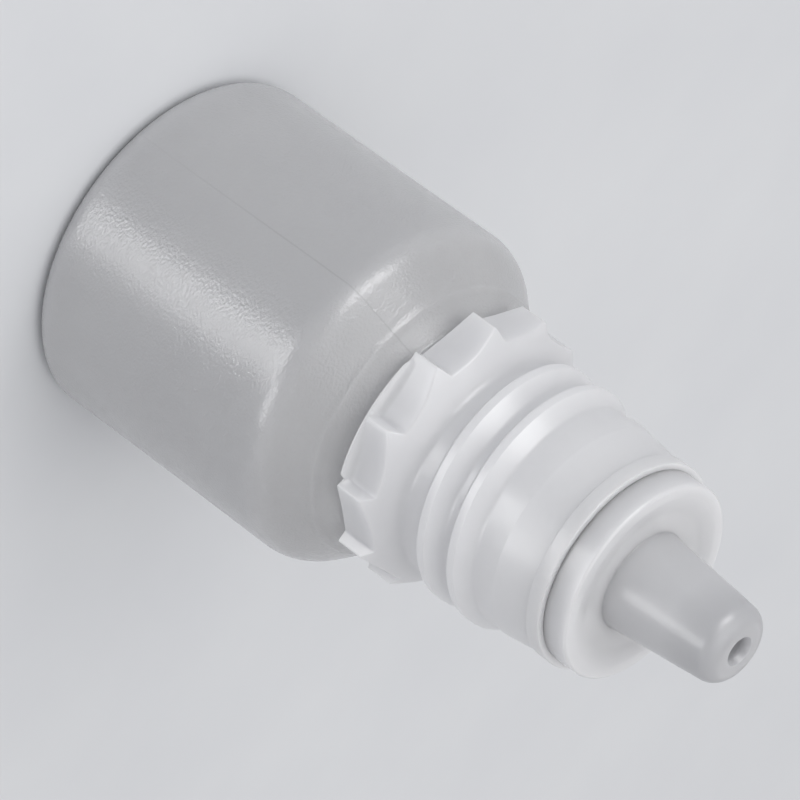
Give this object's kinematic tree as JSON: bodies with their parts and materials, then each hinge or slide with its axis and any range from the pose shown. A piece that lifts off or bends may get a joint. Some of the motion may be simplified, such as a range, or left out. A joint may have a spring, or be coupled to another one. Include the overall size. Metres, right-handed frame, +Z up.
{
  "type": "dropper bottle",
  "caption": "Small squeeze dropper bottle in translucent plastic, cap off: round body, ratchet ring, threaded neck and a press-in plug with a tapered drop nozzle.",
  "frame": {"origin": "centre of the base, on the surface it stands on", "axes": "+Z up the bottle's axis, from the base to the nozzle tip; -Y faces the side seen in front"},
  "size_m": [0.025, 0.025, 0.0523],
  "materials": {
    "bottle_plastic": "translucent white low-density polyethylene, satin",
    "plug_plastic": "translucent natural low-density polyethylene, satin"
  },
  "bodies": {
    "bottle": {"bottle": "bottle_plastic"},
    "plug": {"dropper_plug": "plug_plastic"}
  },
  "joints": [
    {"name": "plug_pull", "type": "slide", "parent": "bottle", "child": "plug", "axis": [0, 0, 1], "range_m": [0, 0.02]}
  ]
}
